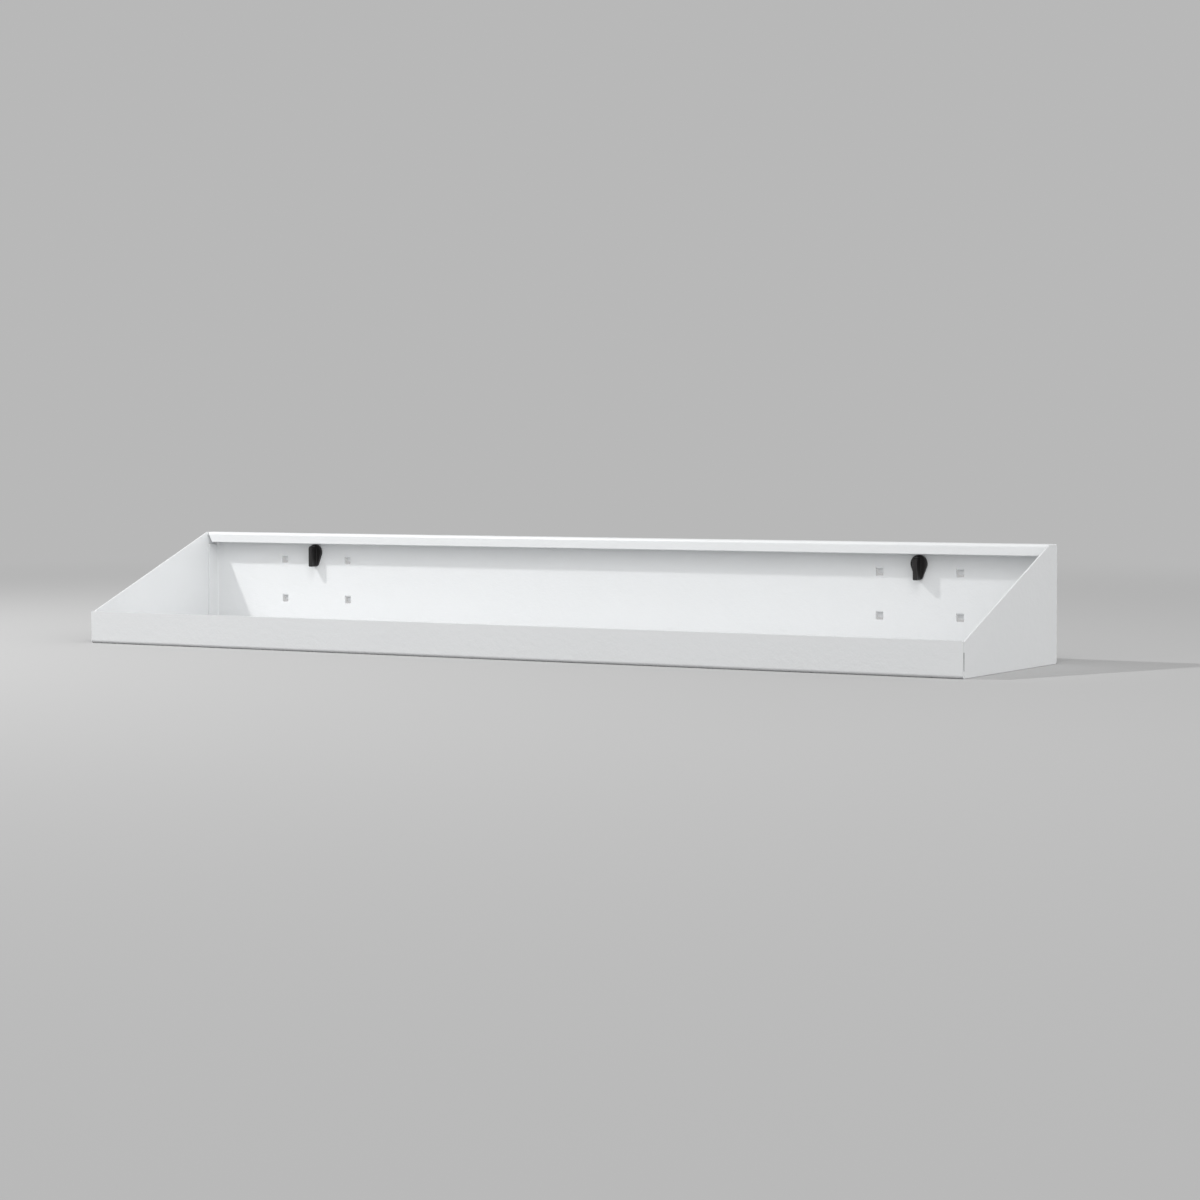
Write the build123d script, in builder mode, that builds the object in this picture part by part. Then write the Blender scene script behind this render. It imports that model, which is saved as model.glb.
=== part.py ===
"""A folded steel tray that hangs on a perforated panel and is held by two quarter-turn locks.

The origin is at mid-width, on the rear plane of the tray, at the height of the upper row
of panel holes. +X is to the right, +Y points into the wall and +Z is up. Millimetres.
"""
from build123d import *
import math
import os

os.makedirs("parts", exist_ok=True)

# Outside size and material of the tray
width = 897.0
depth = 185.0
height = 100.0
sheet = 1.5
bend_inside = 1.5

# The perforated panel that the tray hangs on
hole_pitch = 38.0
hole_size = 10.0
panel_sheet = 1.5

# Height of the upper hole row under the tray's top, and the least distance from the tray's
# ends to the locks. The middle of the tray is half-way between two hole columns.
row_below_top = 18.5
row_count = 2
lock_end_distance = 120.0
middle_column_share = 0.5
hook_column_shares = (-1, 1)

# Front lip, and the flange and lip along the top
front_lip_height = 30.0
lip_corner = 1.0
top_flange_depth = 14.5
top_lip_height = 10.0
top_lip_slant = 5.0

# Flanges that the end plates are welded to
wall_flange_depth = 15.0
wall_flange_drop = 2.0
floor_flange_height = 13.5
flange_corner = 2.0
relief = 1.0
seam = 0.2

# End plates
plate_top_depth = 15.5
plate_front_height = 29.0
plate_corner = 3.0
slit_start = 6.0
slit_height = 14.5
slit_width = 1.1

# Hooks lanced from the back wall
hook_width = 6.6
hook_bend_inside = 0.5
hook_catch = 4.0
hook_play = 0.4
hook_nose = 1.0
lance_gap = 0.2
lance_corner = 0.6
neutral_share = 0.4

# Quarter-turn locks
lock_head_radius = 7.6
lock_tail_radius = 4.0
lock_tail_reach = 14.0
lock_flange = 2.2
lock_flange_edge = 0.4
lock_seat_gap = 0.1
grip_width = 4.0
grip_reach = 7.5
grip_rise = 5.8
grip_top_corner = 2.6
grip_bottom_corner = 1.2
grip_edge = 0.8
grip_foot = 0.8
shank_radius = 4.0
shank_clearance = 0.05
cam_radius = 4.4
cam_flat = 0.5
cam_length = 2.6
cam_lead = 0.8

# One overrun serves all cuts
overrun = 1.0

# Sizes that follow from the ones above
bend_outside = bend_inside + sheet
inner_half = width / 2 - sheet
flange_root = inner_half - bend_outside
top_z = row_below_top
bottom_z = top_z - height
front_lip_top = bottom_z + front_lip_height
top_lip_bottom = top_z - top_lip_height
lip_inside = depth - sheet
bend_start = depth - bend_outside

# The locks turn in the outermost hole column that keeps their distance from the ends
lock_room = (width / 2 - lock_end_distance) / hole_pitch
lock_column = math.floor(lock_room - middle_column_share) + middle_column_share
lock_x = lock_column * hole_pitch

# The tray is one blank: front lip, floor, back wall, top flange and top lip
skin_points = [
    (-depth, front_lip_top),
    (-depth, bottom_z),
    (0, bottom_z),
    (0, top_z),
    (-top_flange_depth, top_z),
    (-top_flange_depth, top_lip_bottom),
]
lining_points = [
    (-lip_inside, front_lip_top),
    (-lip_inside, bottom_z + sheet),
    (-sheet, bottom_z + sheet),
    (-sheet, top_z - sheet),
    (-top_flange_depth + sheet, top_z - sheet),
    (-top_flange_depth + sheet, top_lip_bottom),
]

# Side flanges of the back wall, and of the floor in front of them
wall_flange_top = top_lip_bottom - wall_flange_drop
wall_flange_bottom = bottom_z + bend_outside + relief
floor_flange_back = wall_flange_depth + relief
floor_flange_front = bend_start - relief

# A hook's underside rests on the lower edge of a panel hole
hook_seat = -hole_size / 2
hook_bend_outside = hook_bend_inside + sheet
hook_root = hook_seat + hook_bend_outside
hook_face = panel_sheet + hook_play
hook_back = hook_face + sheet
hook_tip = hook_seat - hook_catch

# The opening that a hook leaves is as long as the hook's flat blank
neutral_radius = hook_bend_inside + neutral_share * sheet
hook_flat_run = hook_face - 2 * hook_bend_inside
hook_flat_drop = hook_catch - hook_bend_inside
blank_length = math.pi * neutral_radius + hook_flat_run + hook_flat_drop
lance_width = hook_width + 2 * lance_gap

hook_places = []
for side in (-1, 1):
    for column_share in hook_column_shares:
        for row in range(row_count):
            hook_x = side * lock_x + column_share * hole_pitch
            hook_places.append((hook_x, 0, -row * hole_pitch))

# One hook, in the upper row at mid-width, with its root inside the back wall
with BuildPart() as hook:
    with BuildSketch(Plane.YZ) as hook_section:
        with BuildLine():
            under_face = FilletPolyline(
                (-sheet, hook_root + sheet),
                (-sheet, hook_seat),
                (hook_face, hook_seat),
                (hook_face, hook_tip),
                radius=[hook_bend_outside, hook_bend_inside],
            )
            upper_face = FilletPolyline(
                (0, hook_root + sheet),
                (0, hook_seat + sheet),
                (hook_back, hook_seat + sheet),
                (hook_back, hook_tip),
                radius=[hook_bend_inside, hook_bend_outside],
            )
            Line(under_face @ 0, upper_face @ 0)
            Line(under_face @ 1, upper_face @ 1)
        make_face()
    extrude(amount=hook_width / 2, both=True)
    fillet(hook.edges().filter_by(Axis.Y).group_by(Axis.Z)[0], radius=hook_nose)

# The opening that one hook was lanced from
with BuildPart() as lance:
    with BuildSketch(Plane.XZ.offset(-overrun)) as lance_outline:
        with Locations((0, hook_root)):
            Rectangle(lance_width, blank_length, align=(Align.CENTER, Align.MAX))
        fillet(lance_outline.vertices().group_by(Axis.Y)[0], radius=lance_corner)
    extrude(amount=sheet + 2 * overrun)

# The folded tray
with BuildPart() as tray_sheet:
    with BuildSketch(Plane.YZ) as tray_section:
        with BuildLine():
            skin = FilletPolyline(*skin_points, radius=bend_outside)
            lining = FilletPolyline(*lining_points, radius=bend_inside)
            Line(skin @ 0, lining @ 0)
            Line(skin @ 1, lining @ 1)
        make_face()
    extrude(amount=width / 2, both=True)
    fillet(
        tray_sheet.edges().filter_by(Axis.Y).filter_by_position(
            Axis.Y, -depth, -lip_inside
        ).group_by(Axis.Z)[-1],
        radius=lip_corner,
    )

    # Behind the front bend the sheet is cut back to pass between the end plates
    with BuildSketch(Plane.XY.offset(bottom_z - overrun)) as end_strips:
        for side in (-1, 1):
            with Locations((side * (width / 2 + overrun), -bend_start)):
                Rectangle(
                    sheet + seam + overrun,
                    bend_start + overrun,
                    align=(Align.MIN if side < 0 else Align.MAX, Align.MIN),
                )
    extrude(amount=height + 2 * overrun, mode=Mode.SUBTRACT)

    # Notches that leave room for the bends of the side flanges
    with BuildSketch(Plane.XZ.offset(-overrun)) as wall_notches:
        for side in (-1, 1):
            with Locations((side * inner_half, wall_flange_bottom - relief)):
                Rectangle(
                    bend_outside,
                    wall_flange_top - wall_flange_bottom + 2 * relief,
                    align=(Align.MIN if side < 0 else Align.MAX, Align.MIN),
                )
    extrude(amount=sheet + 2 * overrun, mode=Mode.SUBTRACT)
    with BuildSketch(Plane.XY.offset(bottom_z - overrun)) as floor_notches:
        for side in (-1, 1):
            with Locations((side * inner_half, -floor_flange_front - relief)):
                Rectangle(
                    bend_outside,
                    floor_flange_front - floor_flange_back + 2 * relief,
                    align=(Align.MIN if side < 0 else Align.MAX, Align.MIN),
                )
    extrude(amount=sheet + 2 * overrun, mode=Mode.SUBTRACT)

    # Side flanges of the back wall, folded forward
    for side in (-1, 1):
        with BuildSketch(Plane.XY.offset(wall_flange_bottom)) as wall_flange:
            with BuildLine():
                outer_face = FilletPolyline(
                    (side * (flange_root - sheet), 0),
                    (side * inner_half, 0),
                    (side * inner_half, -wall_flange_depth),
                    radius=bend_outside,
                )
                inner_face = FilletPolyline(
                    (side * (flange_root - sheet), -sheet),
                    (side * (inner_half - sheet), -sheet),
                    (side * (inner_half - sheet), -wall_flange_depth),
                    radius=bend_inside,
                )
                Line(outer_face @ 0, inner_face @ 0)
                Line(outer_face @ 1, inner_face @ 1)
            make_face()
        extrude(amount=wall_flange_top - wall_flange_bottom)

    # Side flanges of the floor, folded up
    for side in (-1, 1):
        with BuildSketch(Plane.XZ.offset(floor_flange_back)) as floor_flange:
            with BuildLine():
                outer_face = FilletPolyline(
                    (side * (flange_root - sheet), bottom_z),
                    (side * inner_half, bottom_z),
                    (side * inner_half, bottom_z + floor_flange_height),
                    radius=bend_outside,
                )
                inner_face = FilletPolyline(
                    (side * (flange_root - sheet), bottom_z + sheet),
                    (side * (inner_half - sheet), bottom_z + sheet),
                    (side * (inner_half - sheet), bottom_z + floor_flange_height),
                    radius=bend_inside,
                )
                Line(outer_face @ 0, inner_face @ 0)
                Line(outer_face @ 1, inner_face @ 1)
            make_face()
        extrude(amount=floor_flange_front - floor_flange_back)
    flange_ends = tray_sheet.edges().filter_by(Axis.X).filter_by_position(
        Axis.Y, -wall_flange_depth, -wall_flange_depth
    )
    fillet(
        flange_ends.filter_by_position(Axis.Z, wall_flange_bottom, wall_flange_top),
        radius=flange_corner,
    )

    # The ends of the top lip are cut on a slant, so that it folds down between the plates
    with BuildSketch(Plane.XZ.offset(top_flange_depth - bend_outside)) as lip_ends:
        for side in (-1, 1):
            with BuildLine():
                Polyline(
                    (side * inner_half, top_z),
                    (side * (inner_half - top_lip_slant), top_lip_bottom),
                    (side * (inner_half - top_lip_slant), top_lip_bottom - overrun),
                    (side * inner_half, top_lip_bottom - overrun),
                    close=True,
                )
            make_face()
    extrude(amount=bend_outside + overrun, mode=Mode.SUBTRACT)

    # Hooks and their openings, and the bores of the two locks
    with Locations(*hook_places):
        add(lance.part, mode=Mode.SUBTRACT)
        add(hook.part)
    with BuildSketch(Plane.XZ.offset(-overrun)) as lock_bores:
        with Locations((-lock_x, 0), (lock_x, 0)):
            Circle(shank_radius + shank_clearance)
    extrude(amount=sheet + 2 * overrun, mode=Mode.SUBTRACT)
tray_sheet.part.label = "tray_sheet"
export_step(tray_sheet.part, "parts/tray_sheet.step")

# End plates, welded to the outside of the flanges, with the front edge behind the lip
for plate_name, plate_x in (("left_end_plate", -width / 2), ("right_end_plate", inner_half)):
    with BuildPart() as end_plate:
        with BuildSketch(Plane.YZ.offset(plate_x)) as plate_outline:
            with BuildLine():
                Polyline(
                    (0, bottom_z),
                    (0, top_z),
                    (-plate_top_depth, top_z),
                    (-lip_inside, bottom_z + plate_front_height),
                    (-lip_inside, bottom_z + bend_outside),
                    (-bend_start, bottom_z + sheet),
                    (-bend_start + seam, bottom_z + sheet),
                    (-bend_start + seam, bottom_z),
                    close=True,
                )
            make_face()
            fillet(plate_outline.vertices().group_by(Axis.X)[-1], radius=plate_corner)
            with Locations((-lip_inside, bottom_z + slit_start)):
                Rectangle(
                    slit_width,
                    slit_height,
                    align=(Align.MIN, Align.MIN),
                    mode=Mode.SUBTRACT,
                )
        extrude(amount=sheet)
    end_plate.part.label = plate_name
    export_step(end_plate.part, f"parts/{plate_name}.step")

# The upright blade of a lock that the fingers turn
flange_back = sheet + lock_seat_gap
flange_front = flange_back + lock_flange
grip_root = flange_front - lock_flange / 2
grip_front = flange_front + grip_reach
with BuildPart() as grip:
    with BuildSketch(Plane.YZ) as grip_side:
        with BuildLine():
            Polyline(
                (-grip_root, -lock_tail_reach),
                (-grip_root, grip_rise),
                (-grip_front, grip_rise),
                (-grip_front, -lock_tail_reach),
                close=True,
            )
        make_face()
        upper_front = grip_side.vertices().group_by(Axis.X)[0].sort_by(Axis.Y)[-1]
        fillet(upper_front, radius=grip_top_corner)
        lower_front = grip_side.vertices().group_by(Axis.Y)[0].sort_by(Axis.X)[0]
        fillet(lower_front, radius=grip_bottom_corner)
    extrude(amount=grip_width / 2, both=True)
    fillet(grip.faces().sort_by(Axis.Y)[0].edges().filter_by(Axis.Z), radius=grip_edge)

# One lock: a moulding with its grip in front of the wall and a half-round cam behind it
with BuildPart() as lock:
    with BuildSketch(Plane.XZ.offset(flange_back)) as flange_outline:
        Circle(lock_head_radius)
        with Locations((0, lock_tail_radius - lock_tail_reach)):
            Circle(lock_tail_radius)
        make_hull()
    extrude(amount=lock_flange)
    fillet(lock.faces().sort_by(Axis.Y)[0].edges(), radius=lock_flange_edge)
    add(grip.part)
    grip_feet = lock.edges().filter_by(Axis.Z).filter_by_position(
        Axis.Y, -flange_front, -flange_front
    )
    fillet(grip_feet, radius=grip_foot)

    # The shank turns in the wall, and the cam fills one half of the panel's hole
    with BuildSketch(Plane.XZ.offset(-lock_seat_gap)) as shank_section:
        Circle(shank_radius)
    extrude(amount=flange_back + lock_seat_gap)
    with BuildSketch(Plane.XZ.offset(-lock_seat_gap - cam_length)) as cam_section:
        Circle(cam_radius)
        with Locations((-cam_flat, 0)):
            Rectangle(
                2 * cam_radius,
                2 * cam_radius,
                align=(Align.MAX, Align.CENTER),
                mode=Mode.SUBTRACT,
            )
    extrude(amount=cam_length)
    chamfer(lock.faces().sort_by(Axis.Y)[-1].edges().filter_by(GeomType.CIRCLE), length=cam_lead)

for lock_name, axis_x in (("left_lock_knob", -lock_x), ("right_lock_knob", lock_x)):
    with BuildPart() as lock_knob:
        with Locations((axis_x, 0, 0)):
            add(lock.part)
    lock_knob.part.label = lock_name
    export_step(lock_knob.part, f"parts/{lock_name}.step")
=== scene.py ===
"""Looks of a folded steel tray for a perforated panel: powder coat, turn locks and a studio.

Everything is in metres, in the frame of the CAD model: the origin is at mid-width, on the rear
plane of the tray, at the height of the lock axes. +X is right, +Y is back, +Z is up.
"""

from __future__ import annotations

import logging
import math
from dataclasses import dataclass
from enum import Enum
from typing import Any, Iterable

import bmesh
import bpy
from mathutils import Matrix, Vector

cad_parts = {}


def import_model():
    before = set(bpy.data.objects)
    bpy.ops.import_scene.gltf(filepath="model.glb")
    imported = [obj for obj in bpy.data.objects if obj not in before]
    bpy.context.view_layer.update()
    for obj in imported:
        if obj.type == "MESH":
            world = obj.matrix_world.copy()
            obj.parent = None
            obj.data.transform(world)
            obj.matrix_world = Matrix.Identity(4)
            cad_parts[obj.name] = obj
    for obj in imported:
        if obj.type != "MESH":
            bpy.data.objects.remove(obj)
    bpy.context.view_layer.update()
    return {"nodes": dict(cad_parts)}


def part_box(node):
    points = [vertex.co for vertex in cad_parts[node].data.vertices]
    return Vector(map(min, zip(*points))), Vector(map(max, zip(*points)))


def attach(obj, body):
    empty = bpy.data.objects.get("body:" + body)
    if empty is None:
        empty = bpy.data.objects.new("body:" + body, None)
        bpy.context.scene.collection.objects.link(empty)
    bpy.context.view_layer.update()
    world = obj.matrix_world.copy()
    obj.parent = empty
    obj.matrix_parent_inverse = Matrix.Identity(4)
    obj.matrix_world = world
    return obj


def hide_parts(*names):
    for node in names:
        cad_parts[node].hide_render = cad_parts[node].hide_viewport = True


MM = 0.001
LOG = logging.getLogger("tray")

Value = float | tuple[float, ...]
Zone = tuple[Vector, Vector]


def grey(level: float) -> tuple[float, ...]:
    """A neutral colour."""
    return (level, level, level, 1.0)


class Slot(Enum):
    """The record's material slots."""

    POWDER_COAT = "powder_coat"
    LOCK_PLASTIC = "lock_plastic"


class Body(Enum):
    """The bodies that pieces ride on."""

    TRAY = "tray"
    LEFT_LOCK = "left_lock"
    RIGHT_LOCK = "right_lock"


class Signal:
    """An output socket with arithmetic, so that a mask reads as a formula."""

    def __init__(self, graph: Graph, socket: bpy.types.NodeSocket) -> None:
        """Keeps the socket and the graph that it belongs to."""
        self.graph = graph
        self.socket = socket

    def __add__(self, other: Signal | float) -> Signal:
        """The sum."""
        return self.graph.math("ADD", self, other)

    def __sub__(self, other: Signal | float) -> Signal:
        """The difference."""
        return self.graph.math("SUBTRACT", self, other)

    def __rsub__(self, other: float) -> Signal:
        """A number less the signal."""
        return self.graph.math("SUBTRACT", other, self)

    def __mul__(self, other: Signal | float) -> Signal:
        """The product."""
        return self.graph.math("MULTIPLY", self, other)

    __radd__ = __add__
    __rmul__ = __mul__


class Graph:
    """Adds nodes to the tree of one material or world."""

    def __init__(self, owner: bpy.types.Material | bpy.types.World) -> None:
        """Clears the owner's tree.

        Args:
            owner: The material or world whose nodes are made.
        """
        owner.use_nodes = True
        self.tree = owner.node_tree
        self.tree.nodes.clear()

    def node(
        self, kind: str, settings: dict[str, Any] | None = None, **inputs: Signal | Value
    ) -> bpy.types.Node:
        """Adds a node, sets its settings and then its sockets.

        Args:
            kind: The node's type.
            settings: Its properties, by name.
            **inputs: Its sockets' values or links, by name with _ for a space, or by n and an
                index.

        Returns:
            The node.
        """
        made = self.tree.nodes.new(kind)
        for key, value in (settings or {}).items():
            setattr(made, key, value)
        for key, value in inputs.items():
            index = key.removeprefix("n")
            socket = made.inputs[int(index) if index.isdigit() else key.replace("_", " ")]
            if isinstance(value, Signal):
                self.tree.links.new(value.socket, socket)
            else:
                socket.default_value = value
        return made

    def out(self, node: bpy.types.Node, name: str | int = 0) -> Signal:
        """The named output of a node."""
        return Signal(self, node.outputs[name])

    def math(self, operation: str, a: Signal | float, b: Signal | float) -> Signal:
        """A Math node on two values."""
        return self.out(self.node("ShaderNodeMath", {"operation": operation}, n0=a, n1=b))

    def place(self) -> Signal:
        """Object coordinates, in metres."""
        return self.out(self.node("ShaderNodeTexCoord"), "Object")

    def axes(self) -> tuple[Signal, ...]:
        """Object coordinates one by one."""
        parts = self.node("ShaderNodeSeparateXYZ", None, Vector=self.place())
        return tuple(self.out(parts, axis) for axis in "XYZ")

    def seen(self) -> Signal:
        """Tells rays that are looked along from rays that gather light.

        Returns:
            1 for rays from the camera, mirrored or sent through, and 0 for the others.
        """
        rays = self.node("ShaderNodeLightPath")
        camera = self.out(rays, "Is Camera Ray")
        mirrored = self.out(rays, "Is Glossy Ray")
        sent_through = self.out(rays, "Is Transmission Ray")
        return self.math("MAXIMUM", camera, self.math("MAXIMUM", mirrored, sent_through))

    def noise(self, cell: float, detail: float = 2.0, roughness: float = 0.5) -> Signal:
        """Noise between 0 and 1.

        Args:
            cell: The size of one patch, in metres.
            detail: How many finer layers are added.
            roughness: How strong the finer layers are.

        Returns:
            The noise as a signal.
        """
        made = self.node(
            "ShaderNodeTexNoise",
            {"normalize": True},
            Vector=self.place(),
            Scale=1.0 / cell,
            Detail=detail,
            Roughness=roughness,
        )
        return self.out(made, "Fac")

    def band(
        self, value: Signal, low: float, high: float, a: float = 0.0, b: float = 1.0
    ) -> Signal:
        """Maps a value smoothly, and holds it at the ends.

        Args:
            value: The signal.
            low: The value that becomes a.
            high: The value that becomes b.
            a: The result at and below low.
            b: The result at and above high.

        Returns:
            The mapped signal.
        """
        made = self.node(
            "ShaderNodeMapRange",
            {"interpolation_type": "SMOOTHSTEP"},
            Value=value,
            From_Min=low,
            From_Max=high,
            To_Min=a,
            To_Max=b,
        )
        return self.out(made, "Result")

    def within(self, value: Signal, low: float, high: float, soft: float = 0.04 * MM) -> Signal:
        """1 between two values and 0 outside them, with soft ends."""
        rising = self.band(value, low - soft, low + soft)
        return rising * self.band(value, high - soft, high + soft, 1.0, 0.0)

    def blend(self, share: Signal, a: Signal | Value, b: Signal | Value) -> Signal:
        """Mixes two colours."""
        made = self.node("ShaderNodeMix", {"data_type": "RGBA"}, n0=share, n6=a, n7=b)
        return self.out(made, 2)


@dataclass(frozen=True)
class Finish:
    """What all finishes share.

    In each, a cell is the size of a noise's patches, and gloss_band holds the two levels of a
    noise at which the roughness is at its ends.
    """

    name: str
    ior: float = 1.5
    gloss_band: tuple[float, float] = (0.3, 0.7)

    def graph(self) -> tuple[bpy.types.Material, Graph]:
        """A new material and its empty graph."""
        material = bpy.data.materials.new(self.name)
        return material, Graph(material)

    def join(
        self, graph: Graph, colour: Signal, roughness: Signal, bump: bpy.types.Node
    ) -> None:
        """Joins colour, gloss and relief in the material's shader.

        Args:
            graph: The material's nodes.
            colour: The base colour.
            roughness: The roughness.
            bump: The Bump node of the relief.
        """
        shader = graph.node(
            "ShaderNodeBsdfPrincipled",
            None,
            Base_Color=colour,
            Roughness=roughness,
            IOR=self.ior,
            Normal=graph.out(bump),
        )
        graph.node("ShaderNodeOutputMaterial", None, Surface=graph.out(shader))


@dataclass(frozen=True)
class PowderCoat(Finish):
    """Light grey-white powder coat on steel, with the fine orange peel of a baked coat."""

    colour: tuple[float, ...] = (0.735, 0.745, 0.753, 1.0)
    cloud_colour: tuple[float, ...] = (0.715, 0.726, 0.733, 1.0)
    roughness: tuple[float, float] = (0.29, 0.35)
    peel_cell: float = 1.6 * MM
    swell_cell: float = 5 * MM
    swell_share: float = 1.5
    relief_depth: float = 0.08 * MM
    relief_strength: float = 1.0
    film_cell: float = 22 * MM
    cloud_cell: float = 90 * MM

    def base(self, graph: Graph) -> Signal:
        """The colour, with faint clouds."""
        return graph.blend(graph.noise(self.cloud_cell), self.colour, self.cloud_colour)

    def make(self) -> bpy.types.Material:
        """Makes the coat.

        Returns:
            The finished material.
        """
        material, graph = self.graph()
        film = graph.noise(self.film_cell, detail=1.0)
        swell = graph.noise(self.swell_cell, detail=0.0)
        relief = swell * self.swell_share + graph.noise(self.peel_cell, detail=0.0)
        bump = graph.node(
            "ShaderNodeBump",
            None,
            Strength=self.relief_strength,
            Distance=self.relief_depth,
            Height=relief,
        )
        gloss = graph.band(film, *self.gloss_band, *self.roughness)
        self.join(graph, self.base(graph), gloss, bump)
        return material


@dataclass(frozen=True)
class PlateCoat(PowderCoat):
    """The same coat on an end plate, with painted shade on the walls of the slit.

    The slit's walls lie between the corners low and high. Their x is measured from the middle of
    the tray to either side, so that one finish serves both plates.
    """

    low: tuple[float, ...] = (0.0, 0.0, 0.0)
    high: tuple[float, ...] = (0.0, 0.0, 0.0)
    # Near-black of the painted shade inside the slit.
    slit_shade_colour: tuple[float, ...] = (0.045, 0.047, 0.05, 1.0)

    def base(self, graph: Graph) -> Signal:
        """The colour, with painted shade on the walls of the slit.

        Args:
            graph: The material's nodes.

        Returns:
            The colour as a signal.
        """
        x, y, z = graph.axes()
        slit = (
            graph.within(graph.math("ABSOLUTE", x, 0.0), self.low[0], self.high[0])
            * graph.within(y, self.low[1], self.high[1])
            * graph.within(z, self.low[2], self.high[2])
        )
        # Painted shade: the slit's walls are coloured near-black to stand for the shade inside
        # it.
        return graph.blend(slit, super().base(graph), self.slit_shade_colour)


@dataclass(frozen=True)
class MouldedPlastic(Finish):
    """Black moulded plastic with the fine matt grain of a spark-eroded mould."""

    colour: tuple[float, ...] = (0.009, 0.008, 0.0083, 1.0)
    bloom_colour: tuple[float, ...] = (0.014, 0.0127, 0.013, 1.0)
    roughness: tuple[float, float] = (0.28, 0.41)
    grain_cell: float = 0.12 * MM
    grain_depth: float = 0.02 * MM
    grain_strength: float = 0.3
    bloom_cell: float = 3.0 * MM

    def make(self) -> bpy.types.Material:
        """Makes the plastic.

        Returns:
            The finished material.
        """
        material, graph = self.graph()
        grain = graph.noise(self.grain_cell)
        bump = graph.node(
            "ShaderNodeBump",
            None,
            Strength=self.grain_strength,
            Distance=self.grain_depth,
            Height=grain,
        )
        colour = graph.blend(graph.noise(self.bloom_cell), self.colour, self.bloom_colour)
        self.join(graph, colour, graph.band(grain, *self.gloss_band, *self.roughness), bump)
        return material


def dress(piece: bpy.types.Object, material: bpy.types.Material) -> None:
    """Puts a whole piece in one material."""
    piece.data.materials.clear()
    piece.data.materials.append(material)


def select_only(piece: bpy.types.Object) -> None:
    """Makes a piece the one that operators act on.

    Args:
        piece: The piece.
    """
    bpy.ops.object.select_all(action="DESELECT")
    piece.select_set(True)
    bpy.context.view_layer.objects.active = piece


def apply_modifiers(piece: bpy.types.Object) -> None:
    """Applies every modifier of a piece in order.

    Args:
        piece: The piece.
    """
    select_only(piece)
    for modifier in list(piece.modifiers):
        bpy.ops.object.modifier_apply(modifier=modifier.name)


@dataclass
class Coated:
    """A CAD node shown with rounded cut edges under its coat.

    An edge counts as cut from sharp_angle on. It is rounded by edge, inside a fine zone by only
    fine_share of that, and not at all if it is no longer than least_length.
    """

    node: bpy.types.Object
    name: str
    body: Body
    fine_zones: tuple[Zone, ...] = ()
    edge: float = 0.65 * MM
    fine_share: float = 0.3
    least_length: float = 0.0
    segments: int = 4
    same_place: float = 0.001 * MM
    flat_angle: float = math.radians(0.5)
    smooth_angle: float = math.radians(35)
    sharp_angle: float = math.radians(50)
    large_face_weight: int = 100

    def merged_copy(self) -> bpy.types.Object:
        """Copies the node, with its loose triangles joined into flat faces.

        Returns:
            The copy.
        """
        piece = bpy.data.objects.new(self.name, self.node.data.copy())
        bpy.context.scene.collection.objects.link(piece)
        select_only(piece)
        bpy.ops.object.mode_set(mode="EDIT")
        bpy.ops.mesh.select_all(action="SELECT")
        bpy.ops.mesh.remove_doubles(threshold=self.same_place)
        bpy.ops.mesh.dissolve_limited(angle_limit=self.flat_angle)
        bpy.ops.object.mode_set(mode="OBJECT")
        return piece

    def is_fine(self, place: Vector) -> bool:
        """Tells whether a place lies where the metal is lanced or slit.

        Args:
            place: A point of the node.

        Returns:
            True inside any of the fine zones.
        """
        return any(
            all(low[axis] <= place[axis] <= high[axis] for axis in range(3))
            for low, high in self.fine_zones
        )

    def is_cut(self, edge: bmesh.types.BMEdge) -> bool:
        """Tells whether an edge was cut, and isn't too short to be rounded.

        Args:
            edge: An edge of the merged copy.

        Returns:
            True for a sharp edge that is long enough.
        """
        sharp = edge.is_manifold and edge.calc_face_angle() > self.sharp_angle
        return sharp and edge.calc_length() > self.least_length

    def weigh_edges(self, piece: bpy.types.Object) -> None:
        """Marks the cut edges to be rounded in full, and those in the fine zones by their share.

        Args:
            piece: The merged copy.
        """
        shape = bmesh.new()
        shape.from_mesh(piece.data)
        layer = shape.edges.layers.float.new("bevel_weight_edge")
        for edge in filter(self.is_cut, shape.edges):
            middle = (edge.verts[0].co + edge.verts[1].co) / 2
            edge[layer] = self.fine_share if self.is_fine(middle) else 1.0
        shape.to_mesh(piece.data)
        shape.free()

    def build(self) -> bpy.types.Object:
        """Makes the rounded copy.

        Returns:
            The piece that stands for the node.
        """
        piece = self.merged_copy()
        self.weigh_edges(piece)
        bevel = piece.modifiers.new("cut edges", "BEVEL")
        bevel.width = self.edge
        bevel.segments = self.segments
        bevel.limit_method = "WEIGHT"
        bevel.use_clamp_overlap = False
        weld = piece.modifiers.new("weld", "WELD")
        weld.merge_threshold = self.same_place
        apply_modifiers(piece)
        bpy.ops.object.shade_smooth_by_angle(angle=self.smooth_angle)
        flat = piece.modifiers.new("flat faces", "WEIGHTED_NORMAL")
        flat.mode = "FACE_AREA"
        flat.weight = self.large_face_weight
        flat.keep_sharp = True
        apply_modifiers(piece)
        return piece


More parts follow.
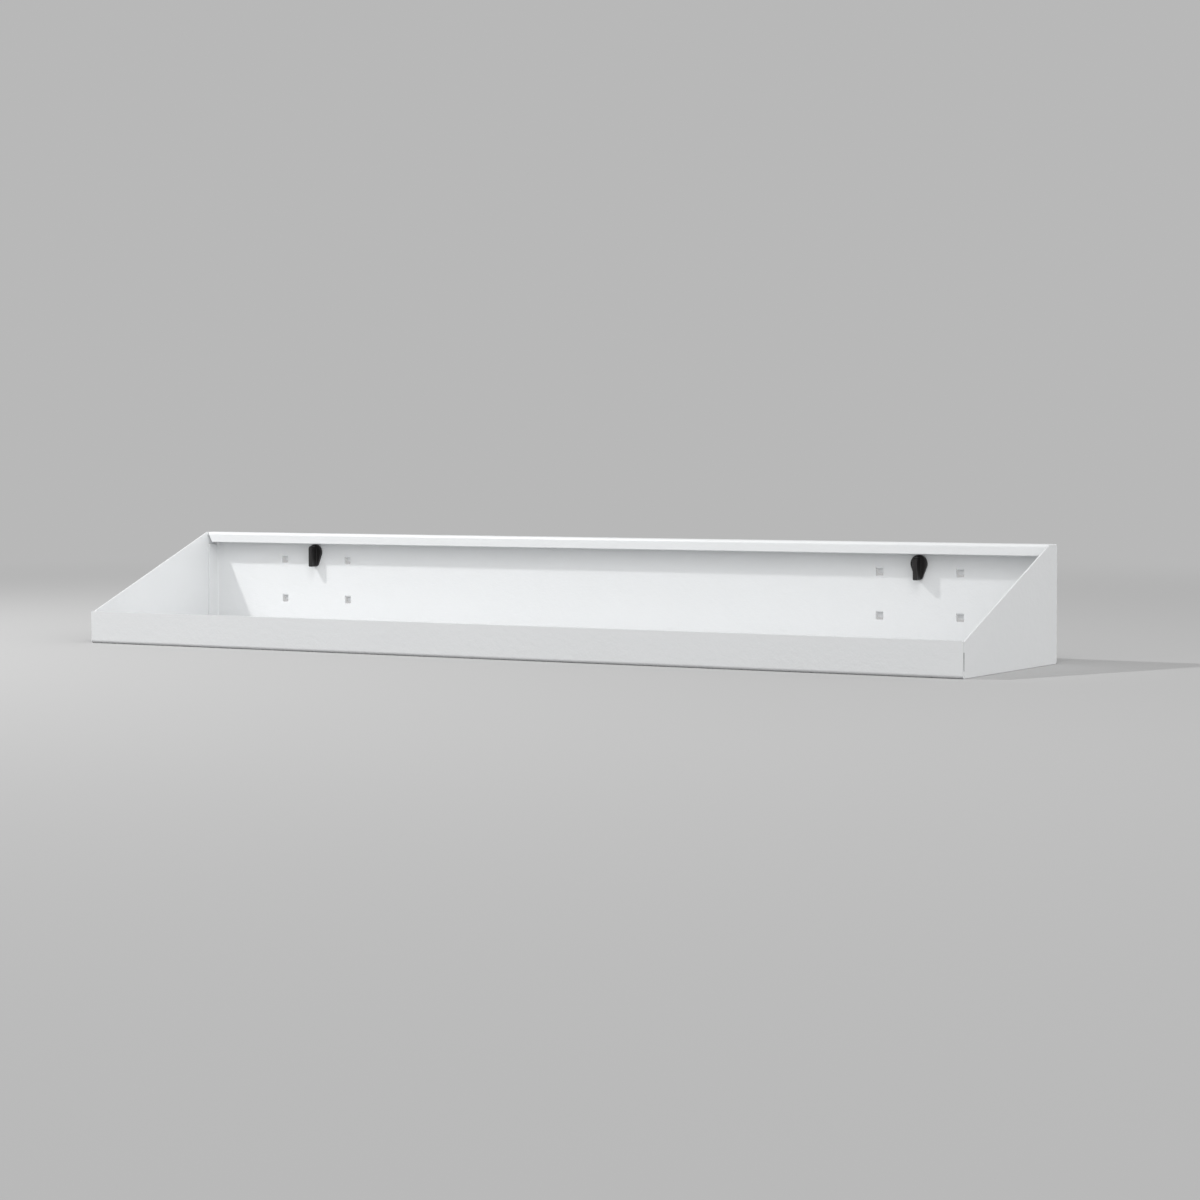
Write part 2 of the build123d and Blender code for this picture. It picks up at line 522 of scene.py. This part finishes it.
@dataclass
class Tray:
    """The folded sheet with its hooks, and the two end plates.

    The heights hook_rise, slit_foot and slit_top are measured from the underside.
    """

    nodes: dict[str, bpy.types.Object]
    hook_columns: tuple[float, ...] = (285 * MM, 361 * MM)
    hook_reach: float = 8 * MM
    hook_front: float = -3 * MM
    hook_rise: float = 5 * MM
    slit_foot: float = 5.5 * MM
    slit_top: float = 21 * MM
    slit_depth: float = 1.3 * MM
    slit_inset: float = 0.12 * MM
    margin: float = 1 * MM
    short_edge: float = 7 * MM

    def hook_zones(self) -> tuple[Zone, ...]:
        """Finds the places of the lanced hooks on both sides of the middle.

        Returns:
            Their low and high corners.
        """
        low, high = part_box("tray_sheet")
        zones = []
        for x in (side * column for column in self.hook_columns for side in (-1, 1)):
            start = Vector((x - self.hook_reach, self.hook_front, low.z + self.hook_rise))
            end = Vector((x + self.hook_reach, high.y + self.margin, high.z))
            zones.append((start, end))
        return tuple(zones)

    def slit_zone(self, node: str) -> Zone:
        """Finds the place of the slit between an end plate and the front lip.

        Args:
            node: The end plate's name.

        Returns:
            The low and high corner.
        """
        low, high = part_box(node)
        start = Vector((low.x, low.y, low.z + self.slit_foot))
        return start, Vector((high.x, low.y + self.slit_depth, low.z + self.slit_top))

    def plate_coat(self) -> PlateCoat:
        """Places the painted shade on the slit's walls in the end plates' coat.

        Returns:
            The finish of both plates.
        """
        start, end = self.slit_zone("right_end_plate")
        return PlateCoat(
            "powder_coat_plate",
            low=(start.x + self.slit_inset, start.y - self.margin, start.z),
            high=(end.x - self.slit_inset, end.y, end.z),
        )

    def sheet(self) -> Coated:
        """Describes the folded sheet, whose hooks and shortest edges stay as cut.

        Returns:
            The piece, not built yet.
        """
        return Coated(
            self.nodes["tray_sheet"],
            "tray_sheet_coated",
            Body.TRAY,
            self.hook_zones(),
            fine_share=0.0,
            least_length=self.short_edge,
        )

    def plate(self, node: str) -> Coated:
        """An end plate, rounded less along its slit."""
        return Coated(self.nodes[node], f"{node}_coated", Body.TRAY, (self.slit_zone(node),))

    def build(self) -> None:
        coat = PowderCoat("powder_coat_satin").make()
        plate_coat = self.plate_coat().make()
        dressed = (
            (self.sheet(), coat),
            (self.plate("left_end_plate"), plate_coat),
            (self.plate("right_end_plate"), plate_coat),
        )
        for made, finish in dressed:
            piece = made.build()
            dress(piece, finish)
            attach(piece, made.body.value)
            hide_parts(made.node.name)
            LOG.info("built %s on %s", piece.name, made.body.value)


@dataclass
class Locks:
    """The two turn locks, each shown by its own CAD solid."""

    nodes: dict[str, bpy.types.Object]

    def build(self) -> None:
        """Dresses both locks in the same plastic."""
        plastic = MouldedPlastic("lock_plastic_black").make()
        for body in (Body.LEFT_LOCK, Body.RIGHT_LOCK):
            knob = self.nodes[f"{body.value}_knob"]
            dress(knob, plastic)
            LOG.info("dressed %s in %s", knob.name, Slot.LOCK_PLASTIC.value)


@dataclass(frozen=True)
class SoftBox:
    """A square area lamp that faces a point of the tray, with its power in watts."""

    name: str
    place: tuple[float, ...]
    size: float
    power: float
    aim: tuple[float, ...] = (0.0, 0.0, -0.03)

    def build(self) -> None:
        """Adds the lamp."""
        data = bpy.data.lights.new(self.name, "AREA")
        data.size = self.size
        data.energy = self.power
        lamp = bpy.data.objects.new(self.name, data)
        lamp.location = self.place
        toward = Vector(self.aim) - Vector(self.place)
        lamp.rotation_euler = toward.to_track_quat("-Z", "Y").to_euler()
        lamp.visible_camera = False
        bpy.context.scene.collection.objects.link(lamp)


@dataclass
class Studio:
    """Floor, lights and camera.

    Angles are in degrees, and lens and sensor in millimetres. The floor fades into the background
    between the two distances of fade. Both look as grey as shade, but the floor gives back only
    as much light as the grey of bounce. The three lights are how strongly the world glows in
    front of the tray, to its right and behind it.
    """

    floor_z: float
    eye: tuple[float, ...] = (1.4014, -2.2484, 0.0987)
    yaw: float = 31.923
    pitch: float = 2.973
    roll: float = -0.234
    lens: float = 87.15
    sensor: float = 36.0
    sight: float = 100.0
    floor_size: float = 40.0
    fade: tuple[float, float] = (0.8, 2.4)
    shade: float = 0.48
    bounce: float = 0.25
    front_light: float = 1.03
    right_light: float = 1.45
    rear_light: float = 0.7
    lamps: tuple[SoftBox, ...] = (
        SoftBox("key", (-1.336, -0.893, 1.461), 0.09, 24.4),
        SoftBox("high_front", (1.2, -1.8, 2.2), 1.2, 18.8),
        SoftBox("rear_rim", (0.05, 2.95, 0.3), 0.8, 8.0),
    )

    def camera(self) -> None:
        """Sets up the camera at the photograph's place and angle."""
        data = bpy.data.cameras.new("camera")
        data.lens = self.lens
        data.sensor_width = self.sensor
        data.clip_end = self.sight
        camera = bpy.data.objects.new("camera", data)
        turn = Matrix.Rotation(math.radians(self.yaw), 3, "Z")
        tilt = Matrix.Rotation(math.radians(90 - self.pitch), 3, "X")
        lean = Matrix.Rotation(math.radians(self.roll), 3, "Z")
        camera.rotation_euler = (turn @ tilt @ lean).to_euler()
        camera.location = self.eye
        bpy.context.scene.collection.objects.link(camera)
        bpy.context.scene.camera = camera

    def floor(self) -> None:
        """Adds a plain pale floor that fades into the background."""
        bpy.ops.object.select_all(action="DESELECT")
        bpy.ops.mesh.primitive_plane_add(size=self.floor_size, location=(0, 0, self.floor_z))
        floor = bpy.context.active_object
        floor.name = "floor"
        material = bpy.data.materials.new("floor")
        graph = Graph(material)
        seen = graph.seen()
        length = graph.node("ShaderNodeVectorMath", {"operation": "LENGTH"}, n0=graph.place())
        far = graph.band(graph.out(length, "Value"), *self.fade) * seen
        tone = graph.blend(seen, grey(self.bounce), grey(self.shade))
        near = graph.out(graph.node("ShaderNodeBsdfDiffuse", None, Color=tone))
        away = graph.out(graph.node("ShaderNodeEmission", None, Color=grey(self.shade)))
        mix = graph.node("ShaderNodeMixShader", None, n0=far, n1=near, n2=away)
        graph.node("ShaderNodeOutputMaterial", None, Surface=graph.out(mix))
        floor.data.materials.append(material)

    def world(self) -> None:
        """Sets up broad soft light that differs by side, and the pale background."""
        world = bpy.data.worlds.new("studio")
        bpy.context.scene.world = world
        graph = Graph(world)
        direction = graph.out(graph.node("ShaderNodeTexCoord"), "Generated")
        parts = graph.node("ShaderNodeSeparateXYZ", None, Vector=direction)
        x, y = (graph.out(parts, axis) for axis in "XY")
        light = (
            graph.math("MAXIMUM", x, 0.0) * self.right_light
            + graph.math("MAXIMUM", 0.0 - y, 0.0) * self.front_light
            + graph.math("MAXIMUM", y, 0.0) * self.rear_light
        )
        colour = graph.blend(graph.seen(), light, grey(self.shade))
        background = graph.node("ShaderNodeBackground", None, Color=colour)
        graph.node("ShaderNodeOutputWorld", None, Surface=graph.out(background))

    def build(self) -> None:
        """Sets up the whole studio."""
        self.camera()
        self.floor()
        self.world()
        for lamp in self.lamps:
            lamp.build()
        bpy.context.scene.view_settings.view_transform = "Standard"


def main() -> None:
    """Loads the frame and builds the looks around it."""
    logging.basicConfig(level=logging.INFO, format="%(name)s: %(message)s")
    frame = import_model()
    Tray(frame["nodes"]).build()
    Locks(frame["nodes"]).build()
    Studio(floor_z=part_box("tray_sheet")[0].z).build()


if __name__ == "__main__":
    main()
